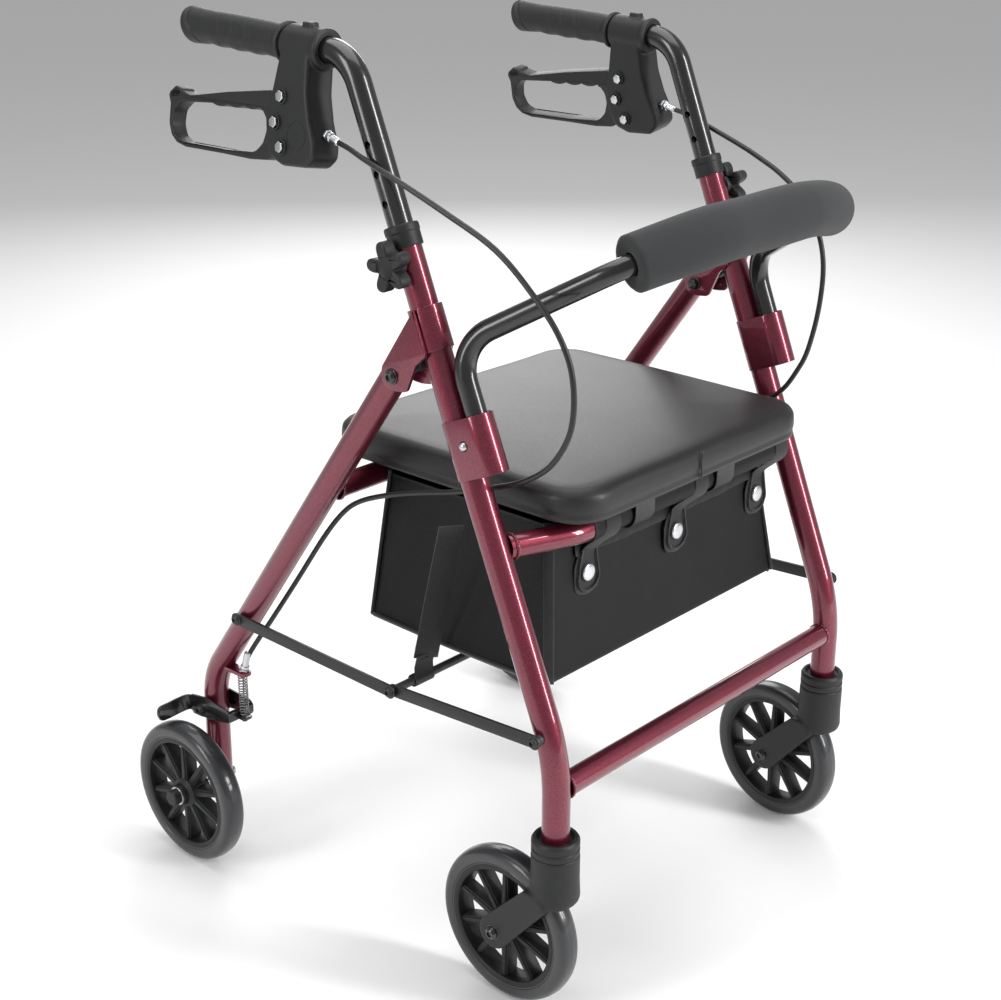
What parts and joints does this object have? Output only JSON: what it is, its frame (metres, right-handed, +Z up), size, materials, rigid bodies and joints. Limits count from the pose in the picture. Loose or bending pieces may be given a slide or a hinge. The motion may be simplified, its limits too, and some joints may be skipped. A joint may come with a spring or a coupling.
{
  "type": "rollator walker",
  "caption": "Folding wheeled walking frame with a padded seat, curved backrest pad, under-seat bag, loop brakes and height-adjustable handles.",
  "frame": {"origin": "on the floor, under the middle of the whole walker's length and width", "axes": "+Z up, +Y towards the person walking behind it, so the seat's backrest is at -Y and the right hand's side is at -X"},
  "size_m": [0.5832, 0.5922, 0.8663],
  "materials": {
    "red_enamel": "burgundy metallic flake enamel under a clear gloss coat",
    "gloss_black": "gloss black powder coat",
    "cable_cover": "smooth black cable cover",
    "moulded_grey": "satin dark grey moulding",
    "wheel_grey": "satin dark grey moulding",
    "grip_rubber": "matte dark grey rubber",
    "tyre_rubber": "smooth grey solid tyre with a moulding line",
    "seat_vinyl": "black vinyl with a fine grain",
    "foam": "matte closed-cell foam",
    "bag_cloth": "black woven nylon with bound edges",
    "webbing": "black ribbed webbing",
    "zinc_steel": "bright zinc plate"
  },
  "bodies": {
    "front_frame": {"front_cross_tube": "red_enamel", "seat_rail": "red_enamel", "backrest_bar": "gloss_black", "backrest_pad": "foam", "bag": "bag_cloth", "pull_strap": "webbing", "right_front_leg": "red_enamel", "right_leg_collar": "moulded_grey", "right_hinge_bracket": "red_enamel", "right_hinge_bolt": "gloss_black", "right_backrest_bracket": "red_enamel", "right_caster_cap": "moulded_grey", "right_brake_cable": "cable_cover", "left_front_leg": "red_enamel", "left_leg_collar": "moulded_grey", "left_hinge_bracket": "red_enamel", "left_hinge_bolt": "gloss_black", "left_backrest_bracket": "red_enamel", "left_caster_cap": "moulded_grey", "left_brake_cable": "cable_cover"},
    "seat": {"seat_cushion": "seat_vinyl", "seat_board": "moulded_grey"},
    "rear_frame": {"rear_cross_tube": "red_enamel", "right_rear_leg": "red_enamel", "right_rear_axle": "zinc_steel", "right_brake_spring": "zinc_steel", "left_rear_leg": "red_enamel", "left_rear_axle": "zinc_steel", "left_brake_spring": "zinc_steel"},
    "front_links": {"spreader_rod": "gloss_black", "right_front_link": "gloss_black", "left_front_link": "gloss_black"},
    "rear_links": {"right_rear_link": "gloss_black", "left_rear_link": "gloss_black"},
    "right_handle": {"right_handle_tube": "gloss_black", "right_grip": "grip_rubber", "right_brake_housing": "moulded_grey"},
    "right_lever": {"right_brake_lever": "moulded_grey"},
    "right_knob": {"right_star_knob": "moulded_grey"},
    "right_button": {"right_snap_button": "zinc_steel"},
    "right_brake": {"right_brake_arm": "gloss_black"},
    "right_rear_roller": {"right_rear_tyre": "tyre_rubber", "right_rear_wheel": "wheel_grey"},
    "right_caster": {"right_caster_fork": "moulded_grey", "right_caster_axle": "gloss_black"},
    "right_front_roller": {"right_front_tyre": "tyre_rubber", "right_front_wheel": "wheel_grey"},
    "left_handle": {"left_handle_tube": "gloss_black", "left_grip": "grip_rubber", "left_brake_housing": "moulded_grey"},
    "left_lever": {"left_brake_lever": "moulded_grey"},
    "left_knob": {"left_star_knob": "moulded_grey"},
    "left_button": {"left_snap_button": "zinc_steel"},
    "left_brake": {"left_brake_arm": "gloss_black"},
    "left_rear_roller": {"left_rear_tyre": "tyre_rubber", "left_rear_wheel": "wheel_grey"},
    "left_caster": {"left_caster_fork": "moulded_grey", "left_caster_axle": "gloss_black"},
    "left_front_roller": {"left_front_tyre": "tyre_rubber", "left_front_wheel": "wheel_grey"}
  },
  "joints": [
    {"name": "frame_fold", "type": "hinge", "parent": "front_frame", "child": "rear_frame", "pos_m": [0, -0.063, 0.5797], "axis": [-1, 0, 0], "range_deg": [0, 34], "deforming": ["bag", "pull_strap", "right_brake_cable", "left_brake_cable"]},
    {"name": "seat_lift", "type": "hinge", "parent": "front_frame", "child": "seat", "pos_m": [0, -0.1931, 0.443], "axis": [1, 0, 0], "range_deg": [0, 70]},
    {"name": "front_links_swing", "type": "hinge", "parent": "front_frame", "child": "front_links", "pos_m": [0, -0.2276, 0.2875], "axis": [1, 0, 0], "range_deg": [-0.5, 51]},
    {"name": "rear_links_swing", "type": "hinge", "parent": "rear_frame", "child": "rear_links", "pos_m": [0, 0.1609, 0.282], "axis": [-1, 0, 0], "range_deg": [-0.5, 40]},
    {"name": "right_handle_height", "type": "slide", "parent": "front_frame", "child": "right_handle", "axis": [0, 0.3766, 0.9264], "range_m": [-0.0762, 0.0508], "deforming": ["right_brake_cable"]},
    {"name": "right_brake_squeeze", "type": "hinge", "parent": "right_handle", "child": "right_lever", "pos_m": [-0.22706, 0.0639, 0.7789], "axis": [0.9863, 0, -0.165], "range_deg": [0, 12], "stiffness_Nm_per_rad": 1, "springref_deg": -2.86},
    {"name": "right_knob_turn", "type": "hinge", "parent": "front_frame", "child": "right_knob", "pos_m": [-0.24, -0.0703, 0.677], "axis": [1, 0, 0], "continuous": true},
    {"name": "right_button_press", "type": "slide", "parent": "front_frame", "child": "right_button", "axis": [1, 0, 0], "range_m": [0, 0.0024], "stiffness_N_per_m": 400, "springref_m": -0.001},
    {"name": "right_brake_arm_swing", "type": "hinge", "parent": "rear_frame", "child": "right_brake", "pos_m": [-0.224, 0.2279, 0.157], "axis": [-1, 0, 0], "range_deg": [-0.2, 6.2], "deforming": ["right_brake_spring"]},
    {"name": "right_rear_roll", "type": "hinge", "parent": "rear_frame", "child": "right_rear_roller", "pos_m": [-0.2652, 0.2199, 0.0762], "axis": [1, 0, 0], "continuous": true},
    {"name": "right_caster_swivel", "type": "hinge", "parent": "front_frame", "child": "right_caster", "pos_m": [-0.216, -0.2373, 0.15], "axis": [0, 0, 1], "continuous": true},
    {"name": "right_front_roll", "type": "hinge", "parent": "right_caster", "child": "right_front_roller", "pos_m": [-0.216, -0.1838, 0.0762], "axis": [1, 0, 0], "continuous": true},
    {"name": "left_handle_height", "type": "slide", "parent": "front_frame", "child": "left_handle", "axis": [0, 0.3766, 0.9264], "range_m": [-0.0508, 0.0762], "deforming": ["left_brake_cable"]},
    {"name": "left_brake_squeeze", "type": "hinge", "parent": "left_handle", "child": "left_lever", "pos_m": [0.22706, 0.0543, 0.7554], "axis": [0.9863, 0, 0.165], "range_deg": [0, 12], "stiffness_Nm_per_rad": 1, "springref_deg": -2.86},
    {"name": "left_knob_turn", "type": "hinge", "parent": "front_frame", "child": "left_knob", "pos_m": [0.24, -0.0703, 0.677], "axis": [1, 0, 0], "continuous": true},
    {"name": "left_button_press", "type": "slide", "parent": "front_frame", "child": "left_button", "axis": [-1, 0, 0], "range_m": [0, 0.0024], "stiffness_N_per_m": 400, "springref_m": -0.001},
    {"name": "left_brake_arm_swing", "type": "hinge", "parent": "rear_frame", "child": "left_brake", "pos_m": [0.224, 0.2279, 0.157], "axis": [-1, 0, 0], "range_deg": [-0.2, 6.2], "deforming": ["left_brake_spring"]},
    {"name": "left_rear_roll", "type": "hinge", "parent": "rear_frame", "child": "left_rear_roller", "pos_m": [0.2652, 0.2199, 0.0762], "axis": [1, 0, 0], "continuous": true},
    {"name": "left_caster_swivel", "type": "hinge", "parent": "front_frame", "child": "left_caster", "pos_m": [0.216, -0.2373, 0.15], "axis": [0, 0, 1], "continuous": true},
    {"name": "left_front_roll", "type": "hinge", "parent": "left_caster", "child": "left_front_roller", "pos_m": [0.22129, -0.18406, 0.0762], "axis": [0.9951, -0.0988, 0], "continuous": true}
  ],
  "couplings": [
    {"joint": "front_links_swing", "follows": "frame_fold", "ratio": 1.4803},
    {"joint": "rear_links_swing", "follows": "frame_fold", "ratio": 1.1665},
    {"joint": "right_brake_arm_swing", "follows": "right_brake_squeeze", "ratio": 0.5},
    {"joint": "left_brake_arm_swing", "follows": "left_brake_squeeze", "ratio": 0.5}
  ]
}
